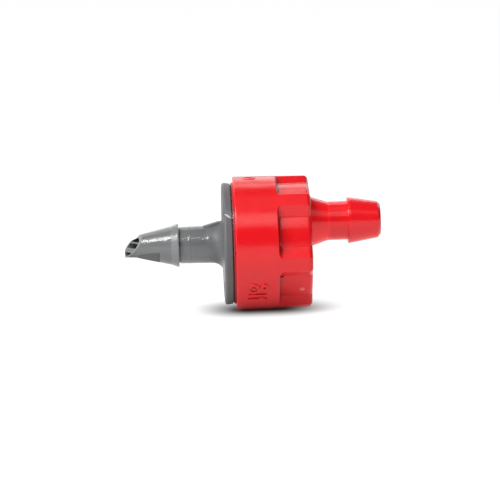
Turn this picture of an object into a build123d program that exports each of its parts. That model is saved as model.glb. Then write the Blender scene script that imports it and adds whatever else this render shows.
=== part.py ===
from build123d import *
import math
import os

# Pressure-compensating drip emitter, lying on its side.
# Millimetres. The flow axis is X: water enters at the piercing tip (-X) and
# leaves at the micro-tube barb (+X). +Z is up. The origin is on the flow axis
# in the front face of the flange, where the wall of the supply pipe seats.

# ---------------------------------------------------------------- inlet base
TIP_X = -11.42  # blunt end of the piercing tip
TIP_R = 1.21
TIP_SHOULDER_X = -10.10  # the nose is nearly parallel up to here
TIP_SHOULDER_R = 1.285
BARB_BAND_X = -6.02  # the last band of the barb is a little steeper
BARB_BAND_R = 2.22
BARB_LAND_X = -5.32
BARB_CREST_X = -5.16
BARB_R = 2.50  # crest radius of the inlet barb
UNDERCUT_X = -5.01  # narrow groove behind the crest
UNDERCUT_R = 2.00
STEM_R_TIP = 2.10  # stem, with moulding draft
STEM_R_ROOT = 2.17
WITNESS_X = -3.86  # fine witness line of the mould round the stem
WITNESS_W = 0.20
WITNESS_H = 0.02
ROOT_FILLET = 1.25
FLANGE_R = 7.06
FLANGE_T = 0.95
FLANGE_EDGE = 0.28  # rounding of the flange's front rim
FLANGE_DRAFT = 0.09  # the rim falls away towards the cap
SPIGOT_R = 6.18
SPIGOT_END_X = 4.40
CHAMBER_R = 5.30
CHAMBER_X = 2.60
INLET_BORE_R = 1.02  # bore at the tip
INLET_BORE_WIDE_R = 1.20  # bore behind the strainer ribs
RIB_END_X = -8.60  # the strainer ribs fill the bore up to here
RIB_BANDS = ((0.37, 0.54), (-0.64, -0.15))  # heights of the two ribs
# oblique cut of the tip: x = CUT_X + CUT_K * u, u across the tip
CUT_X = -10.58
CUT_K = 0.83
CUT_ROLL = 35.0  # degrees from +Z towards -Y
# second, flatter facet on top of the point
FACET_X = -10.05  # its step up to the cone
FACET_Z = 0.90
FACET_K = 0.43
# relief flat on the barb, deepest at its step
FLAT_STEP_X = -7.40
FLAT_STEP_D = 1.56
FLAT_TIP_D = 1.25
FLAT_TIP_X = -10.60
FLAT_ANGLE = 234.0  # direction of the flat's normal in the YZ plane, from +Y
GUSSET_X = -2.30  # low gusset along the top of the stem
GUSSET_Z = 2.62
GUSSET_W = 1.50
NOTCH_ANGLE = 144.0  # index groove across the flange rim, from +Y
NOTCH_R = 0.60
NOTCH_D = 0.34
NOTCH_SLANT = 34.0  # degrees off the flow axis
STANDOFF_N = 6
STANDOFF_R = 3.90

# ---------------------------------------------------------------- seal ring
SEAL_R_IN = 6.22
SEAL_R_OUT = 6.82
SEAL_T = 0.60

# ---------------------------------------------------------------- outlet cap
CAP_LIP_X = 1.08  # recessed lip behind the flange
CAP_LIP_R = 6.98
CAP_X0 = 1.29
CAP_EDGE = 0.15
CAP_X1 = 10.05
CAP_R0 = 7.73
CAP_R1 = 7.62
CAP_SEAT_R = 6.86  # counterbore that takes the seal ring
CAP_BORE_R = 6.20
CAP_SHOULDER_X = 5.90
CAVITY_R = 5.50
CAVITY_END_X = 8.60
CAP_END_ROUND = 0.50
POCKET_N = 6
POCKET_X = 6.20
POCKET_FLOOR_R = 6.76
POCKET_FLOOR_HALF = 15.1  # degrees
POCKET_TOP_HALF = 23.5
POCKET_START = 45.0  # degrees from +Y
POCKET_CORNER = 0.45
POCKET_EDGE = 0.12  # rounding of the pocket's rim
POCKET_ROOT = 0.30  # fillet between its floor and sides
MARK_ANGLE = 223.0  # raised marks on the ring, from +Y
MARK_X = 3.62
MARK_H = 0.12
MARK_BASE_R = 7.20
TOP_MARK_ANGLE = 98.0  # low oval outline on top of the ring
TOP_MARK_X = 3.13
TOP_MARK_H = 0.04
PIT_ANGLE = 209.4  # small pit in a pocket's corner
PIT_X = 6.48
PIT_R = 0.22
GATE_ANGLE = 228.0  # gate vestige on a pocket floor
GATE_X = 8.78
GATE_R = 0.30
GATE_H = 0.22
OUTLET_Z = 2.25  # the outlet stands off the cap's axis
OUTLET_ROOT_R = 2.93
OUTLET_ROOT_X = 12.12
OUTLET_STEM_R = 2.24
OUTLET_CREST_X = 14.48
OUTLET_LAND = 0.28
OUTLET_R = 2.65  # crest radius of the outlet barb
OUTLET_TIP_R = 2.06
OUTLET_END_X = 18.25
OUTLET_END_ROUND = 0.30
OUTLET_BORE_R = 1.15

# ---------------------------------------------------------------- inner parts
DISC_R = 6.15
DISC_X0 = SPIGOT_END_X
DISC_X1 = CAP_SHOULDER_X
LABYRINTH_R0 = 3.20
LABYRINTH_R1 = 4.40
LABYRINTH_D = 0.50
LABYRINTH_TEETH = 24
WELL_R = 2.40
WELL_D = 0.35
METER_SEAT_R0 = 0.55
METER_SEAT_R1 = 1.10
DIA_R = 5.10
DIA_X0 = 3.00
DIA_T = 0.90
DIA_TRAVEL = 0.45  # free float towards the metering seat


WITNESS_R = STEM_R_TIP + (STEM_R_ROOT - STEM_R_TIP) * (WITNESS_X - UNDERCUT_X) / (
    -ROOT_FILLET - UNDERCUT_X
)


def polar(r, deg):
    return (r * math.cos(math.radians(deg)), r * math.sin(math.radians(deg)))


# ================================================================ inlet_base
# One moulding: piercing tip with strainer ribs, barb, stem, flange and the
# spigot with the diaphragm chamber.
with BuildPart() as inlet_base:
    with BuildSketch(Plane.XY) as base_profile:
        with BuildLine():
            Polyline(
                (TIP_X, 0),
                (TIP_X, TIP_R - 0.05),
                (TIP_X + 0.05, TIP_R),
                (TIP_SHOULDER_X, TIP_SHOULDER_R),
                (BARB_BAND_X, BARB_BAND_R),
                (BARB_LAND_X, BARB_R),
                (BARB_CREST_X, BARB_R),
                (BARB_CREST_X + 0.03, UNDERCUT_R),
                (UNDERCUT_X - 0.02, UNDERCUT_R),
                (UNDERCUT_X, STEM_R_TIP),
                (WITNESS_X - WITNESS_W / 2, WITNESS_R),
                (WITNESS_X - WITNESS_W / 6, WITNESS_R + WITNESS_H),
                (WITNESS_X + WITNESS_W / 6, WITNESS_R + WITNESS_H),
                (WITNESS_X + WITNESS_W / 2, WITNESS_R),
                (-ROOT_FILLET, STEM_R_ROOT),
            )
            RadiusArc(
                (-ROOT_FILLET, STEM_R_ROOT),
                (0, STEM_R_ROOT + ROOT_FILLET),
                -ROOT_FILLET,
            )
            Line((0, STEM_R_ROOT + ROOT_FILLET), (0, FLANGE_R - FLANGE_EDGE))
            RadiusArc(
                (0, FLANGE_R - FLANGE_EDGE), (FLANGE_EDGE, FLANGE_R), FLANGE_EDGE
            )
            Polyline(
                (FLANGE_EDGE, FLANGE_R),
                (FLANGE_T - 0.06, FLANGE_R - FLANGE_DRAFT),
                (FLANGE_T, FLANGE_R - FLANGE_DRAFT - 0.06),
                (FLANGE_T, SPIGOT_R),
                (SPIGOT_END_X - 0.25, SPIGOT_R),
                (SPIGOT_END_X, SPIGOT_R - 0.15),
                (SPIGOT_END_X, CHAMBER_R),
                (CHAMBER_X, CHAMBER_R),
                (CHAMBER_X, 0),
                (TIP_X, 0),
            )
        make_face()
    revolve(axis=Axis.X)

    # through bore, wider behind the strainer
    with BuildSketch(Plane.YZ.offset(RIB_END_X)):
        Circle(INLET_BORE_WIDE_R)
    extrude(amount=CHAMBER_X - RIB_END_X + 0.5, mode=Mode.SUBTRACT)
    with BuildSketch(Plane.YZ.offset(TIP_X - 0.5)):
        Circle(INLET_BORE_R)
        for low, high in RIB_BANDS:
            with Locations((0, (low + high) / 2)):
                Rectangle(4, high - low, mode=Mode.SUBTRACT)
    extrude(amount=RIB_END_X - TIP_X + 0.51, mode=Mode.SUBTRACT)

    # oblique cut that makes the piercing point
    roll = math.radians(CUT_ROLL)
    lean = math.atan(CUT_K)
    cut_normal = (
        -math.cos(lean),
        -math.sin(lean) * math.sin(roll),
        math.sin(lean) * math.cos(roll),
    )
    cut_plane = Plane(
        origin=(CUT_X, 0, 0), x_dir=(0, math.cos(roll), math.sin(roll)), z_dir=cut_normal
    )
    with BuildSketch(cut_plane):
        Rectangle(8, 8)
    extrude(amount=5, mode=Mode.SUBTRACT)

    # flatter facet on top of the point
    with BuildSketch(Plane.XZ):
        with BuildLine():
            Polyline(
                (FACET_X - 1.2, FACET_Z - 1.2 * FACET_K),
                (FACET_X, FACET_Z),
                (FACET_X + 0.40, FACET_Z + 0.44),
                (FACET_X + 0.40, FACET_Z + 1.0),
                (FACET_X - 1.2, FACET_Z + 1.0),
                close=True,
            )
        make_face()
    extrude(amount=3, both=True, mode=Mode.SUBTRACT)

    # relief flat on the lower side of the barb, ending in a step
    flat_dir = (
        0,
        math.cos(math.radians(FLAT_ANGLE)),
        math.sin(math.radians(FLAT_ANGLE)),
    )
    flat_plane = Plane(
        origin=(0, 0, 0),
        x_dir=(1, 0, 0),
        z_dir=(0, -flat_dir[2], flat_dir[1]),
    )
    side = 1 if flat_plane.y_dir.dot(Vector(*flat_dir)) > 0 else -1
    slope = (FLAT_STEP_D - FLAT_TIP_D) / (FLAT_STEP_X - FLAT_TIP_X)
    with BuildSketch(flat_plane):
        with BuildLine():
            Polyline(
                (TIP_X - 1, side * (FLAT_TIP_D + slope * (TIP_X - 1 - FLAT_TIP_X))),
                (FLAT_STEP_X, side * FLAT_STEP_D),
                (FLAT_STEP_X, side * 4),
                (TIP_X - 1, side * 4),
                close=True,
            )
        make_face()
    extrude(amount=3, both=True, mode=Mode.SUBTRACT)

    # along the top the root is a low flat gusset in place of the fillet
    with BuildSketch(Plane.XY.offset(GUSSET_Z)):
        with Locations((-ROOT_FILLET / 2 - 0.1, 0)):
            Rectangle(ROOT_FILLET + 0.2, 6.0)
    extrude(amount=1.2, mode=Mode.SUBTRACT)
    with BuildSketch(Plane.XZ.offset(-GUSSET_W / 2)):
        with BuildLine():
            Polyline(
                (GUSSET_X, 1.70),
                (GUSSET_X, 2.13),
                (-0.60, GUSSET_Z - 0.04),
                (0.10, GUSSET_Z),
                (0.10, 1.70),
                close=True,
            )
        make_face()
    extrude(amount=GUSSET_W)

    # half-round index groove, slanting across the flange rim
    notch_out = polar(1.0, NOTCH_ANGLE)
    notch_side = polar(1.0, NOTCH_ANGLE + 90)
    notch_run = (
        math.cos(math.radians(NOTCH_SLANT)),
        math.sin(math.radians(NOTCH_SLANT)) * notch_side[0],
        math.sin(math.radians(NOTCH_SLANT)) * notch_side[1],
    )
    notch_centre = (
        FLANGE_T / 2,
        (FLANGE_R - NOTCH_D + NOTCH_R) * notch_out[0],
        (FLANGE_R - NOTCH_D + NOTCH_R) * notch_out[1],
    )
    with BuildSketch(Plane(origin=notch_centre, z_dir=notch_run)):
        Circle(NOTCH_R)
    extrude(amount=0.90, both=True, mode=Mode.SUBTRACT)

    # stand-offs that keep the diaphragm clear of the chamber floor
    with BuildSketch(Plane.YZ.offset(CHAMBER_X)):
        with PolarLocations(STANDOFF_R, STANDOFF_N, start_angle=30):
            Rectangle(1.6, 0.7)
    extrude(amount=DIA_X0 - 0.05 - CHAMBER_X)

    # water way from the chamber's rim to the labyrinth
    with BuildSketch(Plane.YZ.offset(SPIGOT_END_X)):
        with Locations(polar(CHAMBER_R - 0.1, 90)):
            Rectangle(1.0, 0.8, rotation=90)
    extrude(amount=-0.6, mode=Mode.SUBTRACT)
inlet_base.part.label = "inlet_base"

# ================================================================ seal_ring
# Flat rubber ring between the flange and the cap's mouth.
with BuildPart() as seal_ring:
    with BuildSketch(Plane.YZ.offset(FLANGE_T)):
        Circle(SEAL_R_OUT)
        Circle(SEAL_R_IN, mode=Mode.SUBTRACT)
    extrude(amount=SEAL_T)
    chamfer(seal_ring.edges().filter_by(GeomType.CIRCLE), 0.06)
seal_ring.part.label = "seal_ring"

# raised marks of the cap's ring, following its curve: two rings, a bar and a
# flow arrow, and a low oval outline on top
with BuildPart() as ring_marks:
    mark_plane = Plane(
        origin=(0, *polar(MARK_BASE_R, MARK_ANGLE)),
        x_dir=(1, 0, 0),
        z_dir=(0, *polar(1.0, MARK_ANGLE)),
    )
    with BuildSketch(mark_plane):
        with Locations((MARK_X - 0.42, 0.80)):
            Circle(0.72)
            Circle(0.44, mode=Mode.SUBTRACT)
            Circle(0.20)
        with Locations((MARK_X + 0.82, 1.00)):
            Circle(0.46)
            Circle(0.20, mode=Mode.SUBTRACT)
        with Locations((MARK_X, -0.26)):
            RectangleRounded(2.10, 0.28, 0.12)
        with Locations((MARK_X, -1.06)):
            Polygon(
                (-1.05, 0.14),
                (0.25, 0.14),
                (0.25, 0.54),
                (1.05, 0.0),
                (0.25, -0.54),
                (0.25, -0.14),
                (-1.05, -0.14),
                align=None,
            )
    extrude(amount=1.2)
    with BuildSketch(Plane.YZ):
        Circle(CAP_R0 + MARK_H)
    extrude(amount=CAP_X1, mode=Mode.INTERSECT)

with BuildPart() as top_mark:
    top_plane = Plane(
        origin=(0, *polar(MARK_BASE_R, TOP_MARK_ANGLE)),
        x_dir=(1, 0, 0),
        z_dir=(0, *polar(1.0, TOP_MARK_ANGLE)),
    )
    with BuildSketch(top_plane):
        with Locations((TOP_MARK_X, 0)):
            RectangleRounded(1.50, 1.00, 0.45)
            RectangleRounded(1.00, 0.50, 0.22, mode=Mode.SUBTRACT)
    extrude(amount=1.2)
    with BuildSketch(Plane.YZ):
        Circle(CAP_R0 + TOP_MARK_H)
    extrude(amount=CAP_X1, mode=Mode.INTERSECT)

# ================================================================ outlet_cap
# One moulding: ring with six grip pockets, end wall and the offset barb.
with BuildPart() as outlet_cap:
    with BuildSketch(Plane.XY) as cap_profile:
        with BuildLine():
            Polyline(
                (CAP_LIP_X, CAP_SEAT_R),
                (CAP_LIP_X, CAP_LIP_R),
                (CAP_X0, CAP_LIP_R),
                (CAP_X0, CAP_R0 - CAP_EDGE),
            )
            RadiusArc(
                (CAP_X0, CAP_R0 - CAP_EDGE), (CAP_X0 + CAP_EDGE, CAP_R0), CAP_EDGE
            )
            Polyline(
                (CAP_X0 + CAP_EDGE, CAP_R0),
                (CAP_X1, CAP_R1),
                (CAP_X1, 0),
                (CAVITY_END_X, 0),
                (CAVITY_END_X, CAVITY_R),
                (CAP_SHOULDER_X, CAVITY_R),
                (CAP_SHOULDER_X, CAP_BORE_R),
                (FLANGE_T + SEAL_T, CAP_BORE_R),
                (FLANGE_T + SEAL_T, CAP_SEAT_R),
                (CAP_LIP_X, CAP_SEAT_R),
            )
        make_face()
    revolve(axis=Axis.X)

    # six grip pockets, open at the end face
    floor_y, floor_z = polar(POCKET_FLOOR_R, POCKET_FLOOR_HALF)
    top_y, top_z = polar(CAP_R1, POCKET_TOP_HALF)
    dir_y, dir_z = top_y - floor_y, top_z - floor_z
    inner = (floor_y - 0.5 * dir_y, floor_z - 0.5 * dir_z)
    outer = (floor_y + 1.7 * dir_y, floor_z + 1.7 * dir_z)
    with BuildSketch(Plane.YZ.offset(POCKET_X)) as pockets:
        with PolarLocations(0, POCKET_N, start_angle=POCKET_START):
            Polygon(
                inner,
                outer,
                (9.5, outer[1]),
                (9.5, -outer[1]),
                (outer[0], -outer[1]),
                (inner[0], -inner[1]),
                align=None,
            )
        Circle(POCKET_FLOOR_R, mode=Mode.SUBTRACT)
    extrude(amount=CAP_X1 - POCKET_X + 1, mode=Mode.SUBTRACT)

    corner_edges = outlet_cap.edges().filter_by(GeomType.LINE).filter_by_position(
        Axis.X, POCKET_X - 0.01, POCKET_X + 0.01
    )
    fillet(corner_edges, POCKET_CORNER)

    long_edges = outlet_cap.edges().filter_by(
        lambda e: e.length > 2.0
        and abs(e.center().X - (POCKET_X + CAP_X1) / 2) < 0.5
        and abs(e.tangent_at(0.5).X) > 0.9
    )
    root_edges = long_edges.filter_by(
        lambda e: abs(math.hypot(e.center().Y, e.center().Z) - POCKET_FLOOR_R) < 0.1
    )
    fillet(root_edges, POCKET_ROOT)
    rim_edges = outlet_cap.edges().filter_by(
        lambda e: e.length > 2.0
        and abs(e.center().X - (POCKET_X + CAP_X1) / 2) < 0.5
        and abs(e.tangent_at(0.5).X) > 0.9
        and math.hypot(e.center().Y, e.center().Z) > CAP_R1 - 0.05
    )
    fillet(rim_edges, POCKET_EDGE)

    end_face = outlet_cap.faces().filter_by(GeomType.PLANE).sort_by(Axis.X)[-1]
    fillet(end_face.outer_wire().edges(), CAP_END_ROUND)

    # raised marks on the ring
    add(ring_marks.part)
    add(top_mark.part)

    # domed gate vestige on a pocket floor, and a small pit in its corner
    with Locations((GATE_X, *polar(POCKET_FLOOR_R + GATE_H - GATE_R, GATE_ANGLE))):
        Sphere(GATE_R)
    with Locations((PIT_X, *polar(POCKET_FLOOR_R + 0.06, PIT_ANGLE))):
        Sphere(PIT_R, mode=Mode.SUBTRACT)

    # offset outlet: conical root, stem, barb
    with BuildSketch(Plane.XY.offset(OUTLET_Z)) as outlet_profile:
        with BuildLine():
            Polyline(
                (CAVITY_END_X + 0.3, 0),
                (CAVITY_END_X + 0.3, OUTLET_ROOT_R),
                (CAP_X1, OUTLET_ROOT_R),
                (OUTLET_ROOT_X, OUTLET_STEM_R),
                (OUTLET_CREST_X + 0.06, OUTLET_STEM_R),
                (OUTLET_CREST_X, OUTLET_R),
                (OUTLET_CREST_X + OUTLET_LAND, OUTLET_R),
                (OUTLET_END_X - OUTLET_END_ROUND, OUTLET_TIP_R + 0.04),
                (OUTLET_END_X, OUTLET_TIP_R - OUTLET_END_ROUND),
                (OUTLET_END_X, 0),
                (CAVITY_END_X + 0.3, 0),
            )
        make_face()
    revolve(axis=Axis(origin=(0, 0, OUTLET_Z), direction=(1, 0, 0)))
    with BuildSketch(Plane.YZ.offset(CAVITY_END_X - 0.5)):
        with Locations((0, OUTLET_Z)):
            Circle(OUTLET_BORE_R)
    extrude(amount=OUTLET_END_X - CAVITY_END_X + 1, mode=Mode.SUBTRACT)
outlet_cap.part.label = "outlet_cap"

# ================================================================ flow_disc
# Hard disc clamped between the spigot and the cap's shoulder: a toothed
# labyrinth, then a well whose central seat the diaphragm throttles.
with BuildPart() as flow_disc:
    with BuildSketch(Plane.YZ.offset(DISC_X0)):
        Circle(DISC_R)
    extrude(amount=DISC_X1 - DISC_X0)

    # toothed ring channel: teeth from its two walls alternate
    with BuildSketch(Plane.YZ.offset(DISC_X0)):
        Circle(LABYRINTH_R1)
        Circle(LABYRINTH_R0, mode=Mode.SUBTRACT)
        for i in range(LABYRINTH_TEETH):
            mid = (
                (LABYRINTH_R0 + 0.30) if i % 2 else (LABYRINTH_R1 - 0.30)
            )
            with Locations(polar(mid, 90 + (i + 1) * 360 / (LABYRINTH_TEETH + 1))):
                Rectangle(
                    0.90,
                    0.28,
                    rotation=90 + (i + 1) * 360 / (LABYRINTH_TEETH + 1),
                    mode=Mode.SUBTRACT,
                )
    extrude(amount=LABYRINTH_D, mode=Mode.SUBTRACT)

    # well with the raised metering seat and the outlet hole
    with BuildSketch(Plane.YZ.offset(DISC_X0)):
        Circle(WELL_R)
        Circle(METER_SEAT_R1, mode=Mode.SUBTRACT)
    extrude(amount=WELL_D, mode=Mode.SUBTRACT)
    with BuildSketch(Plane.YZ.offset(DISC_X0)):
        Circle(METER_SEAT_R0)
    extrude(amount=DISC_X1 - DISC_X0, mode=Mode.SUBTRACT)
    # metering groove across the seat, and the way from the labyrinth's end
    with BuildSketch(Plane.YZ.offset(DISC_X0)):
        with Locations((0, -METER_SEAT_R1)):
            Rectangle(0.25, 1.6)
        with Locations((0, (WELL_R + LABYRINTH_R0) / 2)):
            Rectangle(0.60, LABYRINTH_R0 - WELL_R + 0.3)
    extrude(amount=0.20, mode=Mode.SUBTRACT)
flow_disc.part.label = "flow_disc"

# ================================================================ diaphragm
# Silicone disc that floats between the stand-offs and the metering seat.
with BuildPart() as diaphragm:
    with BuildSketch(Plane.YZ.offset(DIA_X0)):
        Circle(DIA_R)
    extrude(amount=DIA_T)
    fillet(diaphragm.edges().filter_by(GeomType.CIRCLE), 0.15)
diaphragm.part.label = "diaphragm"

os.makedirs("parts", exist_ok=True)
export_step(inlet_base.part, "parts/inlet_base.step")
export_step(seal_ring.part, "parts/seal_ring.step")
export_step(outlet_cap.part, "parts/outlet_cap.step")
export_step(flow_disc.part, "parts/flow_disc.step")
export_step(diaphragm.part, "parts/diaphragm.step")
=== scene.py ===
import math
import random

import bmesh
import bpy
from mathutils import Matrix, Vector


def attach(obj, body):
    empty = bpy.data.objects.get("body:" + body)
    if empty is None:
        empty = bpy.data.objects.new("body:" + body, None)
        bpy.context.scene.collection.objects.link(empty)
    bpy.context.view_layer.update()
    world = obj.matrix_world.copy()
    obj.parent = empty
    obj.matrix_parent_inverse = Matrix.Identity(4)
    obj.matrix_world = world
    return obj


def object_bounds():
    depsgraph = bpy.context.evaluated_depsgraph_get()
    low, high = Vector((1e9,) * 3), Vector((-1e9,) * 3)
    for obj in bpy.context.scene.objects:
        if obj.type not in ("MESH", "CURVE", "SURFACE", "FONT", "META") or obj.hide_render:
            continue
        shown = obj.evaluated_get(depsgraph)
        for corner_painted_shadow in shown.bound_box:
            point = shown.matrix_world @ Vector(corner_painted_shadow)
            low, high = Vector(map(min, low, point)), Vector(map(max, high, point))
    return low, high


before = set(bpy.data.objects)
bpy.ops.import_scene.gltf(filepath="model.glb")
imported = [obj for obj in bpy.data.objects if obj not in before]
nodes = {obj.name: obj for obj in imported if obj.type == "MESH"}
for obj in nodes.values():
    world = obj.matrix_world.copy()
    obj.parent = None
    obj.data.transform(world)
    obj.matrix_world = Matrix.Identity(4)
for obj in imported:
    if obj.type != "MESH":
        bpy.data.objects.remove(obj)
cad_lo, cad_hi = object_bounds()
MM = 0.001
scene = bpy.context.scene


# ------------------------------------------------------------------ helpers
def node_tree(name):
    mat = bpy.data.materials.new(name)
    mat.use_nodes = True
    nt = mat.node_tree
    nt.nodes.clear()
    out = nt.nodes.new("ShaderNodeOutputMaterial")
    bsdf = nt.nodes.new("ShaderNodeBsdfPrincipled")
    nt.links.new(bsdf.outputs[0], out.inputs[0])
    return mat, nt, bsdf


def add(nt, kind, **values):
    n = nt.nodes.new(kind)
    for k, v in values.items():
        if k in n.inputs:
            n.inputs[k].default_value = v
        else:
            setattr(n, k, v)
    return n


def ramp(nt, stops):
    n = nt.nodes.new("ShaderNodeValToRGB")
    el = n.color_ramp.elements
    while len(el) < len(stops):
        el.new(0.5)
    for e, (p, c) in zip(el, stops):
        e.position = p
        e.color = c if len(c) == 4 else (*c, 1)
    return n


def moulded(name, base, dark, rough, scratch=0.15, grain=0.18, ripple=0.35, edge=0.00006, pale=None, mottle=0.2):
    """Injection-moulded plastic: faint flow mottling, fine ripple, small handling marks."""
    mat, nt, bsdf = node_tree(name)
    L = nt.links
    co = add(nt, "ShaderNodeTexCoord")
    # slow colour mottling, as in cooled melt
    flow = add(nt, "ShaderNodeTexNoise", Scale=260.0, Detail=3.0, Roughness=0.5)
    L.new(co.outputs["Object"], flow.inputs["Vector"])
    tint = ramp(nt, [(0.30, dark), (0.72, base)])
    L.new(flow.outputs["Fac"], tint.inputs["Fac"])
    colour = tint.outputs["Color"]
    if pale is not None:
        # painted light: the colour is made paler along x, standing in for light falling more fully on that end:
        # (colour, x where it starts, x where it is full)
        painted_light_colour, x0, x1 = pale
        sep = add(nt, "ShaderNodeSeparateXYZ")
        L.new(co.outputs["Object"], sep.inputs[0])
        reach = add(nt, "ShaderNodeMapRange")
        reach.inputs["From Min"].default_value = x0
        reach.inputs["From Max"].default_value = x1
        L.new(sep.outputs["X"], reach.inputs["Value"])
        mix = add(nt, "ShaderNodeMix")
        mix.data_type = "RGBA"
        L.new(reach.outputs["Result"], mix.inputs[0])
        L.new(colour, mix.inputs[6])
        mix.inputs[7].default_value = painted_light_colour
        colour = mix.outputs[2]
    L.new(colour, bsdf.inputs["Base Color"])
    # gloss varies: polished tool, dulled by handling
    hand = add(nt, "ShaderNodeTexNoise", Scale=900.0, Detail=4.0, Roughness=0.6)
    L.new(co.outputs["Object"], hand.inputs["Vector"])
    rr = add(nt, "ShaderNodeMapRange")
    rr.inputs["From Min"].default_value = 0.3
    rr.inputs["From Max"].default_value = 0.7
    rr.inputs["To Min"].default_value = rough - 0.05
    rr.inputs["To Max"].default_value = rough + 0.07
    L.new(hand.outputs["Fac"], rr.inputs["Value"])
    L.new(rr.outputs["Result"], bsdf.inputs["Roughness"])
    # ripple, grain and fine scratches as bump, over slightly softened edges
    soft = add(nt, "ShaderNodeBevel")
    soft.samples = 6
    soft.inputs["Radius"].default_value = edge
    ripples = add(nt, "ShaderNodeTexNoise", Scale=520.0, Detail=2.0, Roughness=0.45)
    L.new(co.outputs["Object"], ripples.inputs["Vector"])
    fine = add(nt, "ShaderNodeTexNoise", Scale=5200.0, Detail=3.0, Roughness=0.6)
    L.new(co.outputs["Object"], fine.inputs["Vector"])
    stretch = add(nt, "ShaderNodeMapping")
    stretch.inputs["Scale"].default_value = (300.0, 2600.0, 2600.0)
    stretch.inputs["Rotation"].default_value = (0.2, 0.1, 0.25)
    L.new(co.outputs["Object"], stretch.inputs["Vector"])
    streak = add(nt, "ShaderNodeTexNoise", Scale=1.0, Detail=4.0, Roughness=0.7)
    L.new(stretch.outputs["Vector"], streak.inputs["Vector"])
    line = ramp(nt, [(0.62, (0, 0, 0)), (0.68, (1, 1, 1))])
    L.new(streak.outputs["Fac"], line.inputs["Fac"])
    b1 = add(nt, "ShaderNodeBump", Strength=ripple, Distance=0.00004)
    L.new(ripples.outputs["Fac"], b1.inputs["Height"])
    L.new(soft.outputs["Normal"], b1.inputs["Normal"])
    pebble = add(nt, "ShaderNodeTexNoise", Scale=2100.0, Detail=2.0, Roughness=0.5)
    L.new(co.outputs["Object"], pebble.inputs["Vector"])
    bp = add(nt, "ShaderNodeBump", Strength=mottle, Distance=0.00002)
    L.new(pebble.outputs["Fac"], bp.inputs["Height"])
    L.new(b1.outputs["Normal"], bp.inputs["Normal"])
    b2 = add(nt, "ShaderNodeBump", Strength=grain, Distance=0.000012)
    L.new(fine.outputs["Fac"], b2.inputs["Height"])
    L.new(bp.outputs["Normal"], b2.inputs["Normal"])
    b3 = add(nt, "ShaderNodeBump", Strength=scratch, Distance=0.00001)
    L.new(line.outputs["Color"], b3.inputs["Height"])
    L.new(b2.outputs["Normal"], b3.inputs["Normal"])
    L.new(b3.outputs["Normal"], bsdf.inputs["Normal"])
    bsdf.inputs["IOR"].default_value = 1.5
    return mat, nt, bsdf


def put(obj, mat):
    obj.data.materials.clear()
    obj.data.materials.append(mat)


# ---------------------------------------------------------------- materials
red, red_nt, red_bsdf = moulded(
    "red_plastic", (0.745, 0.008, 0.013, 1), (0.69, 0.006, 0.010, 1), 0.20, scratch=0.3, grain=0.45,
    ripple=0.55, mottle=0.35,
)
red_bsdf.inputs["Subsurface Weight"].default_value = 0.08
red_bsdf.inputs["Subsurface Radius"].default_value = (0.0006, 0.0001, 0.0001)
red_bsdf.inputs["Subsurface Scale"].default_value = 1.0
# the grey is painted paler towards the barb's tip: painted light for the lamps on the left, which fall more fully on
# the cone than on the stem and flange
grey, grey_nt, grey_bsdf = moulded(
    "grey_plastic", (0.122, 0.127, 0.131, 1), (0.104, 0.108, 0.112, 1), 0.15,
    scratch=0.4, grain=1.0, ripple=0.5, mottle=1.2,
    pale=((0.158, 0.160, 0.162, 1), -0.0006, -0.0060),
)


def object_mask(nt, direction, level, x_low, x_high, soft=0.00002):
    """1 where the point lies beyond a plane (object space) and x is between two limits."""
    co = add(nt, "ShaderNodeTexCoord")
    dot = add(nt, "ShaderNodeVectorMath")
    dot.operation = "DOT_PRODUCT"
    nt.links.new(co.outputs["Object"], dot.inputs[0])
    dot.inputs[1].default_value = direction
    sp = add(nt, "ShaderNodeSeparateXYZ")
    nt.links.new(co.outputs["Object"], sp.inputs[0])
    masks = []
    for value, lo, hi in (
        (dot.outputs["Value"], level - soft, level),
        (sp.outputs["X"], x_low - soft, x_low),
        (sp.outputs["X"], x_high + soft, x_high),
    ):
        m = add(nt, "ShaderNodeMapRange")
        m.inputs["From Min"].default_value = lo
        m.inputs["From Max"].default_value = hi
        nt.links.new(value, m.inputs["Value"])
        masks.append(m.outputs["Result"])
    one = add(nt, "ShaderNodeMath")
    one.operation = "MULTIPLY"
    nt.links.new(masks[0], one.inputs[0])
    nt.links.new(masks[1], one.inputs[1])
    two = add(nt, "ShaderNodeMath")
    two.operation = "MULTIPLY"
    nt.links.new(one.outputs[0], two.inputs[0])
    nt.links.new(masks[2], two.inputs[1])
    return two.outputs[0]


def blend_in(nt, bsdf, mask, colour, rough):
    """Lay another colour (or none) and roughness over the masked part of a moulded material."""
    if colour is not None:
        mix = add(nt, "ShaderNodeMix")
        mix.data_type = "RGBA"
        nt.links.new(mask, mix.inputs[0])
        nt.links.new(bsdf.inputs["Base Color"].links[0].from_socket, mix.inputs[6])
        mix.inputs[7].default_value = colour
        nt.links.new(mix.outputs[2], bsdf.inputs["Base Color"])
    mixr = add(nt, "ShaderNodeMix")
    nt.links.new(mask, mixr.inputs[0])
    nt.links.new(bsdf.inputs["Roughness"].links[0].from_socket, mixr.inputs[2])
    mixr.inputs[3].default_value = rough
    nt.links.new(mixr.outputs[0], bsdf.inputs["Roughness"])


# the relief flat is given a darker colour and a duller finish
flat_a = math.radians(234.0)
flat_mask = object_mask(
    grey_nt, (-0.0969, math.cos(flat_a), math.sin(flat_a)), 0.002268, -0.0109, -0.00741
)
blend_in(grey_nt, grey_bsdf, flat_mask, (0.070, 0.072, 0.074, 1), 0.45)


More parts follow.
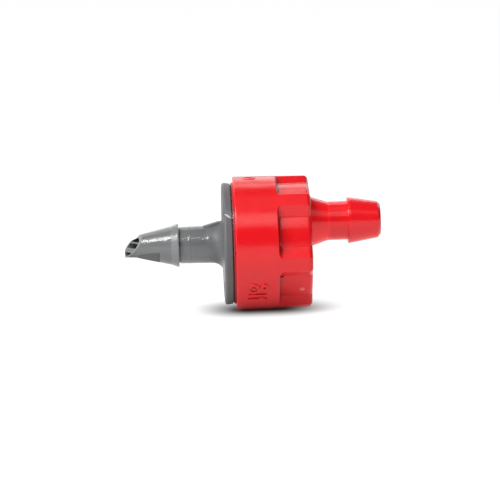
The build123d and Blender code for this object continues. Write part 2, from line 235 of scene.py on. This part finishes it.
def near_mask(nt, centre, keep, radius, soft):
    """1 within a radius (metres) of a point, or of an axis through it, in object space."""
    co = add(nt, "ShaderNodeTexCoord")
    off = add(nt, "ShaderNodeVectorMath")
    off.operation = "SUBTRACT"
    nt.links.new(co.outputs["Object"], off.inputs[0])
    off.inputs[1].default_value = centre
    flat = add(nt, "ShaderNodeVectorMath")
    flat.operation = "MULTIPLY"
    nt.links.new(off.outputs[0], flat.inputs[0])
    flat.inputs[1].default_value = keep
    dist = add(nt, "ShaderNodeVectorMath")
    dist.operation = "LENGTH"
    nt.links.new(flat.outputs[0], dist.inputs[0])
    m = add(nt, "ShaderNodeMapRange")
    m.inputs["From Min"].default_value = radius + soft
    m.inputs["From Max"].default_value = radius
    nt.links.new(dist.outputs["Value"], m.inputs["Value"])
    return m.outputs["Result"]


# the root and the flange come from a duller part of the tool
root_mask = object_mask(grey_nt, (1.0, 0.0, 0.0), -0.0016, -1.0, 1.0, soft=0.0006)
blend_in(grey_nt, grey_bsdf, root_mask, None, 0.52)


def both(nt, a, b):
    """Product of two masks."""
    m = add(nt, "ShaderNodeMath")
    m.operation = "MULTIPLY"
    nt.links.new(a, m.inputs[0])
    nt.links.new(b, m.inputs[1])
    return m.outputs[0]


# painted light: the underside of the stem and the hollow of its root are painted paler as a reflection of the floor,
# and the barb's last band is painted paler as a highlight
stem_underside_painted_light = object_mask(grey_nt, (0.0, -0.45, -0.89), 0.0018, -0.0046, -0.0016, soft=0.0007)
blend_in(grey_nt, grey_bsdf, stem_underside_painted_light, (0.180, 0.183, 0.186, 1), 0.25)
root_hollow_painted_reflection = both(
    grey_nt,
    object_mask(grey_nt, (0.0, -0.35, -0.93), 0.0030, -0.0003, 0.01, soft=0.0008),
    near_mask(grey_nt, (0.0, 0.0, 0.0), (0.0, 1.0, 1.0), 0.0044, 0.0006),
)
blend_in(grey_nt, grey_bsdf, root_hollow_painted_reflection, (0.27, 0.273, 0.276, 1), 0.40)
crest_band_painted_highlight = object_mask(grey_nt, (-1.0, 0.0, 0.0), 0.00514, -0.00602, 1.0, soft=0.00004)
blend_in(grey_nt, grey_bsdf, crest_band_painted_highlight, (0.190, 0.193, 0.196, 1), 0.17)
# painted shade: inside the inlet's bore, behind the cut, the plastic is painted darker
bore = near_mask(grey_nt, (0.0, 0.0, 0.0), (0.0, 1.0, 1.0), 0.00101, 0.00003)
behind_cut = object_mask(grey_nt, (0.7695, 0.3664, -0.5232), -0.00809, -1.0, 1.0, soft=0.00008)
bore_painted_shade = add(grey_nt, "ShaderNodeMath")
bore_painted_shade.operation = "MULTIPLY"
grey_nt.links.new(bore, bore_painted_shade.inputs[0])
grey_nt.links.new(behind_cut, bore_painted_shade.inputs[1])
blend_in(grey_nt, grey_bsdf, bore_painted_shade.outputs[0], (0.022, 0.022, 0.023, 1), 0.5)
# painted highlight: the gate vestige is painted paler where its dome catches light; painted shade: the pit in the
# pocket's corner is painted dark
gate_a = math.radians(228.0)
gate_painted_highlight = near_mask(
    red_nt, (0.00878, 0.00668 * math.cos(gate_a), 0.00668 * math.sin(gate_a)), (1.0, 1.0, 1.0), 0.00029, 0.00006
)
blend_in(red_nt, red_bsdf, gate_painted_highlight, (0.92, 0.16, 0.15, 1), 0.25)
pit_a = math.radians(209.4)
pit_painted_shade = near_mask(
    red_nt, (0.00648, 0.00682 * math.cos(pit_a), 0.00682 * math.sin(pit_a)), (1.0, 1.0, 1.0), 0.00020, 0.00006
)
blend_in(red_nt, red_bsdf, pit_painted_shade, (0.10, 0.004, 0.006, 1), 0.6)
# painted shadow: darker in the corner between the ring and the pockets' floors, where the ring's edge shades them
corner_painted_shadow = both(
    red_nt,
    object_mask(red_nt, (1.0, 0.0, 0.0), 0.0060, -1.0, 0.00626, soft=0.00030),
    near_mask(red_nt, (0.0, 0.0, 0.0), (0.0, 1.0, 1.0), 0.00720, 0.00015),
)
blend_in(red_nt, red_bsdf, corner_painted_shadow, (0.30, 0.003, 0.005, 1), 0.35)
# painted light: the outlet is painted a little brighter, and its root, in the cap's shadow from the left lamps,
# brighter still
outlet_painted_light = object_mask(red_nt, (1.0, 0.0, 0.0), 0.0102, -1.0, 1.0, soft=0.0003)
blend_in(red_nt, red_bsdf, outlet_painted_light, (0.79, 0.008, 0.014, 1), 0.20)
outlet_root_painted_light = object_mask(red_nt, (1.0, 0.0, 0.0), 0.0102, -1.0, 0.0122, soft=0.0003)
blend_in(red_nt, red_bsdf, outlet_root_painted_light, (0.98, 0.010, 0.018, 1), 0.20)
# painted shade: the cap's mouth, behind its first edge, is painted darker where it sits recessed in the gap behind the
# flange
mouth_painted_shade = object_mask(red_nt, (-1.0, 0.0, 0.0), -0.00126, -1.0, 1.0, soft=0.00003)
blend_in(red_nt, red_bsdf, mouth_painted_shade, (0.40, 0.009, 0.013, 1), 0.5)

# painted highlight: thin flash and lips are made paler and glossier, standing in for the glints they catch
flash_painted_highlight, flash_nt, flash_bsdf = moulded(
    "grey_flash_painted_highlight", (0.62, 0.63, 0.64, 1), (0.46, 0.47, 0.48, 1), 0.12, scratch=0.2, grain=0.6
)
black, _, _ = moulded("black_rubber", (0.020, 0.018, 0.018, 1), (0.012, 0.010, 0.010, 1), 0.6)
natural, _, _ = moulded("disc_plastic", (0.62, 0.60, 0.55, 1), (0.55, 0.53, 0.48, 1), 0.4)
silicone, _, sil_bsdf = moulded("silicone", (0.72, 0.73, 0.73, 1), (0.66, 0.67, 0.67, 1), 0.35)
sil_bsdf.inputs["Subsurface Weight"].default_value = 0.4
sil_bsdf.inputs["Subsurface Radius"].default_value = (0.0012, 0.0012, 0.0012)
sil_bsdf.inputs["Subsurface Scale"].default_value = 1.0

put(nodes["inlet_base"], grey)
put(nodes["outlet_cap"], red)
put(nodes["seal_ring"], black)
put(nodes["flow_disc"], natural)
put(nodes["diaphragm"], silicone)

# ------------------------------------------------------------ small details
def piece(name, bm, mat, body, smooth=True):
    mesh = bpy.data.meshes.new(name)
    bmesh.ops.recalc_face_normals(bm, faces=bm.faces[:])
    bm.to_mesh(mesh)
    bm.free()
    for poly in mesh.polygons:
        poly.use_smooth = smooth
    o = bpy.data.objects.new(name, mesh)
    scene.collection.objects.link(o)
    put(o, mat)
    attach(o, body)
    return o


def ridge(bm, x0, x1, radius_at, centre_z, angle, half, low, high, seed, step=0.045):
    """An uneven parting-line ridge along X on a round stem (mm): closed, with its foot sunk into the stem."""
    rng = random.Random(seed)
    n = int((x1 - x0) / step)
    rows = []
    level = 0.4
    for i in range(n + 1):
        x = x0 + (x1 - x0) * i / n
        level = min(1.0, max(0.0, level + rng.uniform(-0.42, 0.42)))
        h = low + (high - low) * level
        if i in (0, n):
            h = low * 0.3
        w = half * (0.7 + 0.5 * level)
        r = radius_at(x)
        row = []
        for side, up in ((-1.4, -0.030), (-1.0, 0.0), (-0.45, 0.8), (0.0, 1.0), (0.45, 0.8), (1.0, 0.0), (1.4, -0.030)):
            lift = up if up <= 0 else up * h
            if side in (-1.4, 1.4):
                lift = -0.030
            elif up == 0.0:
                lift = -0.004
            a = math.radians(angle) + side * w / r
            rr = r + lift
            row.append(bm.verts.new((x * MM, rr * math.cos(a) * MM, (centre_z + rr * math.sin(a)) * MM)))
        rows.append(row)
    for r0, r1 in zip(rows, rows[1:]):
        for j in range(len(r0)):
            k = (j + 1) % len(r0)
            bm.faces.new((r0[j], r0[k], r1[k], r1[j]))
    bm.faces.new(rows[0])
    bm.faces.new(list(reversed(rows[-1])))


def nibs(bm, spots):
    """Low rounded specks of plastic: (x, y, z, outward direction, length, width, height) in mm."""
    for x, y, z, out, run, long, wide, high in spots:
        out = Vector(out).normalized()
        run = Vector(run)
        run = (run - out * run.dot(out)).normalized()
        third = out.cross(run)
        frame3 = Matrix((run * long, third * wide, out * high)).transposed()
        res = bmesh.ops.create_icosphere(bm, subdivisions=2, radius=1.0)
        for v in res["verts"]:
            v.co = (Vector((x, y, z)) + frame3 @ v.co) * MM


def stem_r(x):
    return 2.10 + (2.17 - 2.10) * (x + 5.01) / (-1.25 + 5.01)


# parting line of the grey moulding: along the stem on the camera's upper side
bm = bmesh.new()
ridge(bm, -4.90, -1.35, stem_r, 0.0, 155.0, 0.07, 0.002, 0.050, 11)
piece("stem_parting_line", bm, grey, "housing")
# and of the red one, along the outlet's stem
bm = bmesh.new()
ridge(bm, 12.20, 14.40, lambda x: 2.24, 2.25, 155.0, 0.06, 0.005, 0.036, 12)
piece("outlet_parting_line", bm, red, "housing")

# specks of moulding flash round the parting line, pale as a painted highlight
rng = random.Random(21)
spots = []


def speck(x, deg, run, long, wide, high):
    a = math.radians(deg)
    r = stem_r(x)
    out = (0.0, math.cos(a), math.sin(a))
    spots.append((x, r * out[1], r * out[2], out, run, 1.1 * long, 1.4 * wide, 1.4 * high))


# one long one across the stem, a thin thread along it, and two loose groups
speck(-4.03, 154.6, (0.12, 0.5, 0.9), 0.27, 0.060, 0.050)
speck(-4.10, 150.5, (0.30, 0.5, 0.9), 0.09, 0.045, 0.040)
for i in range(7):
    speck(-3.60 + 0.15 * i, 153.2 + 0.5 * math.sin(2.1 * i), (1.0, 0.0, 0.08), 0.085, 0.022, 0.028)
for i in range(6):
    speck(rng.uniform(-4.75, -4.30), 154.5 + rng.gauss(0.0, 2.0), (1.0, 0.2, 0.2),
          rng.uniform(0.04, 0.09), rng.uniform(0.028, 0.045), rng.uniform(0.025, 0.035))
for i in range(9):
    speck(rng.uniform(-2.45, -1.75), 154.8 + rng.gauss(0.0, 2.6), (1.0, rng.uniform(-0.5, 0.5), rng.uniform(-0.5, 0.5)),
          rng.uniform(0.06, 0.14), rng.uniform(0.035, 0.060), rng.uniform(0.030, 0.045))
bm = bmesh.new()
nibs(bm, spots)
piece("stem_flash_specks", bm, flash_painted_highlight, "housing")

# raised lip along the lower side of the index groove on the flange rim, pale as a painted highlight
bm = bmesh.new()
rows = []
steps, ring = 14, 10
for i in range(steps + 1):
    t = i / steps
    x = 0.13 + 0.76 * t
    a = math.radians(145.4 + 4.6 * t)
    size = 0.03 + 0.110 * math.sin(math.pi * min(1.0, max(0.0, t * 0.94 + 0.03)))
    r = 7.06 - 0.09 * (x - 0.28) / 0.67 if x > 0.28 else 7.06 - 0.28 + math.sqrt(0.28 ** 2 - (0.28 - x) ** 2)
    out = Vector((0.0, math.cos(a), math.sin(a)))
    side = Vector((-0.55, -0.835 * math.sin(a), 0.835 * math.cos(a)))
    mid = Vector((x, r * out.y, r * out.z)) - out * 0.02
    rows.append([
        bm.verts.new((mid + side * (size * math.cos(u)) + out * (0.75 * size * math.sin(u))) * MM)
        for u in (2 * math.pi * k / ring for k in range(ring))
    ])
for r0, r1 in zip(rows, rows[1:]):
    for k in range(ring):
        bm.faces.new((r0[k], r0[(k + 1) % ring], r1[(k + 1) % ring], r1[k]))
bm.faces.new(rows[0])
bm.faces.new(list(reversed(rows[-1])))
piece("index_groove_lip", bm, flash_painted_highlight, "housing")

# beads squeezed out of the weld, in the gap behind the flange; the pale ones are a painted highlight
beads = {"pale": [], "grey": [], "red": []}
for i in range(64):
    if i < 11:
        kind, deg = "pale", rng.uniform(143, 159)
    else:
        kind, deg = ("grey", "red")[i % 2], rng.choice((rng.uniform(136, 190), rng.uniform(0, 360)))
    a = math.radians(deg)
    r = rng.uniform(6.95, 7.05)
    size = rng.uniform(0.025, 0.050) if kind == "pale" else rng.uniform(0.035, 0.075)
    beads[kind].append((
        rng.uniform(1.02, 1.22), r * math.cos(a), r * math.sin(a),
        (0.25, math.cos(a), math.sin(a)), (0.0, -math.sin(a), math.cos(a)),
        size * rng.uniform(1.0, 2.2), size, size,
    ))
for kind, mat, slot in (("pale", flash_painted_highlight, "inlet_plastic"), ("grey", grey, "inlet_plastic"), ("red", red, "cap_plastic")):
    bm = bmesh.new()
    nibs(bm, beads[kind])
    piece("weld_beads_" + kind, bm, mat, "housing")

# ------------------------------------------------------------------- camera
# the object lies 1.8 degrees off level in the frame: the camera is rolled
TARGET = Vector((3.08, 0.0, -0.83)) * MM
DIST = 0.348
AZ = math.radians(-1.7)
EL = math.radians(6.0)
ROLL = math.radians(1.8)
cam_data = bpy.data.cameras.new("camera")
cam = bpy.data.objects.new("camera", cam_data)
scene.collection.objects.link(cam)
back = Vector((math.sin(AZ) * math.cos(EL), -math.cos(AZ) * math.cos(EL), math.sin(EL)))
cam.location = TARGET + back * DIST
look = (-back).to_track_quat("-Z", "Y").to_matrix()
cam.matrix_world = Matrix.Translation(cam.location) @ (look @ Matrix.Rotation(-ROLL, 3, "Z")).to_4x4()
cam_data.lens = 216.0
cam_data.sensor_width = 36.0
cam_data.clip_start = 0.01
cam_data.clip_end = 10.0
scene.camera = cam

# ------------------------------------------------------------- floor, light
def sheet_mesh(name, corners, mat):
    mesh = bpy.data.meshes.new(name)
    mesh.from_pydata(corners, [], [tuple(range(len(corners)))])
    o = bpy.data.objects.new(name, mesh)
    scene.collection.objects.link(o)
    put(o, mat)
    return o


def math_node(nt, op, a, b=None, clamp=False):
    n = nt.nodes.new("ShaderNodeMath")
    n.operation = op
    n.use_clamp = clamp
    for i, v in enumerate((a, b)):
        if v is None:
            continue
        if isinstance(v, (int, float)):
            n.inputs[i].default_value = v
        else:
            nt.links.new(v, n.inputs[i])
    return n.outputs[0]


# a white light table whose glow is dimmed close round the line of contact, a painted contact shadow
floor_mat, fnt, fb = node_tree("floor_white_painted_shadow")
fb.inputs["Base Color"].default_value = (0.085, 0.085, 0.085, 1)
fb.inputs["Roughness"].default_value = 0.9
fb.inputs["Specular IOR Level"].default_value = 0.0
fb.inputs["Emission Color"].default_value = (1, 1, 1, 1)
fco = fnt.nodes.new("ShaderNodeTexCoord")
fsep = fnt.nodes.new("ShaderNodeSeparateXYZ")
fnt.links.new(fco.outputs["Object"], fsep.inputs[0])
fx, fy = fsep.outputs["X"], fsep.outputs["Y"]
left = math_node(fnt, "MULTIPLY", math_node(fnt, "MAXIMUM", math_node(fnt, "SUBTRACT", 0.0028, fx), 0.0), 1.28)
right = math_node(fnt, "MULTIPLY", math_node(fnt, "MAXIMUM", math_node(fnt, "SUBTRACT", fx, 0.0060), 0.0), 1.12)
along = math_node(fnt, "ADD", left, right)
behind = math_node(fnt, "MULTIPLY", math_node(fnt, "MAXIMUM", fy, 0.0), 0.8)
front = math_node(fnt, "MAXIMUM", math_node(fnt, "MULTIPLY", fy, -1.0), 0.0)
across = math_node(fnt, "ADD", behind, front)
away = math_node(
    fnt, "SQRT",
    math_node(fnt, "ADD", math_node(fnt, "MULTIPLY", along, along), math_node(fnt, "MULTIPLY", across, across)),
)
painted_shadow_glow = add(fnt, "ShaderNodeMapRange")
painted_shadow_glow.interpolation_type = "SMOOTHSTEP"
painted_shadow_glow.inputs["From Min"].default_value = 0.0008
painted_shadow_glow.inputs["From Max"].default_value = 0.0097
painted_shadow_glow.inputs["To Min"].default_value = 0.008
painted_shadow_glow.inputs["To Max"].default_value = 0.985
fnt.links.new(away, painted_shadow_glow.inputs["Value"])
fpath = fnt.nodes.new("ShaderNodeLightPath")
dim = math_node(fnt, "SUBTRACT", 1.0, math_node(fnt, "MULTIPLY", fpath.outputs["Is Diffuse Ray"], 0.15))
lift = math_node(fnt, "MULTIPLY", fpath.outputs["Is Diffuse Ray"], 0.20)
glow = math_node(fnt, "ADD", math_node(fnt, "MULTIPLY", painted_shadow_glow.outputs["Result"], dim), lift)
fnt.links.new(glow, fb.inputs["Emission Strength"])
FLOOR_Z = cad_lo.z - 0.00002
floor = sheet_mesh("floor", [(-2, -2, FLOOR_Z), (2, -2, FLOOR_Z), (2, 2, FLOOR_Z), (-2, 2, FLOOR_Z)], floor_mat)

# a plain studio: dim ceiling, brighter all round near the horizon behind
world = bpy.data.worlds.new("world")
scene.world = world
world.use_nodes = True
wnt = world.node_tree
wnt.nodes.clear()
wout = wnt.nodes.new("ShaderNodeOutputWorld")
wmix = wnt.nodes.new("ShaderNodeMixShader")
lit = wnt.nodes.new("ShaderNodeBackground")
seen = wnt.nodes.new("ShaderNodeBackground")
path = wnt.nodes.new("ShaderNodeLightPath")
wco = wnt.nodes.new("ShaderNodeTexCoord")
sep = wnt.nodes.new("ShaderNodeSeparateXYZ")
wnt.links.new(wco.outputs["Generated"], sep.inputs[0])
grad = ramp(wnt, [(0.0, (0.06, 0.06, 0.06)), (0.5, (0.10, 0.10, 0.10)), (0.72, (0.40, 0.40, 0.40)), (1.0, (1.3, 1.3, 1.3))])
mr = wnt.nodes.new("ShaderNodeMapRange")
mr.inputs["From Min"].default_value = -1.0
mr.inputs["From Max"].default_value = 1.0
wnt.links.new(sep.outputs["Y"], mr.inputs["Value"])
wnt.links.new(mr.outputs["Result"], grad.inputs["Fac"])
wnt.links.new(grad.outputs["Color"], lit.inputs["Color"])
lit.inputs["Strength"].default_value = 0.40
seen.inputs["Color"].default_value = (1, 1, 1, 1)
seen.inputs["Strength"].default_value = 1.0
wnt.links.new(path.outputs["Is Camera Ray"], wmix.inputs[0])
wnt.links.new(lit.outputs[0], wmix.inputs[1])
wnt.links.new(seen.outputs[0], wmix.inputs[2])
wnt.links.new(wmix.outputs[0], wout.inputs[0])


def softbox(name, azim, elev, wide, tall, radiance, dist=0.40):
    """A rectangular light seen from the object at this bearing (0 towards the camera) and height."""
    a, e = math.radians(azim), math.radians(elev)
    d = Vector((math.sin(a) * math.cos(e), -math.cos(a) * math.cos(e), math.sin(e)))
    w = 2 * dist * math.tan(math.radians(wide / 2))
    h = 2 * dist * math.tan(math.radians(tall / 2))
    data = bpy.data.lights.new(name, "AREA")
    data.shape = "RECTANGLE"
    data.size = w
    data.size_y = h
    data.energy = radiance * math.pi * w * h
    o = bpy.data.objects.new(name, data)
    scene.collection.objects.link(o)
    o.location = TARGET + d * dist
    o.rotation_euler = (-d).to_track_quat("-Z", "Y").to_euler()
    return o


softbox("left_lamp", -36, 52, 8, 27, 27.5)
softbox("side_softbox", -60, 38, 16, 36, 10.2)
softbox("left_fill", -62, 4, 46, 30, 1.15)
softbox("key_softbox", 3, 46, 16, 22, 2.1)
softbox("ceiling", 0, 78, 30, 34, 0.40)
softbox("top_back", 10, 123, 34, 14, 1.7)
softbox("back_wall", 180, 30, 90, 28, 1.2)
softbox("right_fill", 48, 40, 24, 24, 0.8)

scene.view_settings.view_transform = "Standard"
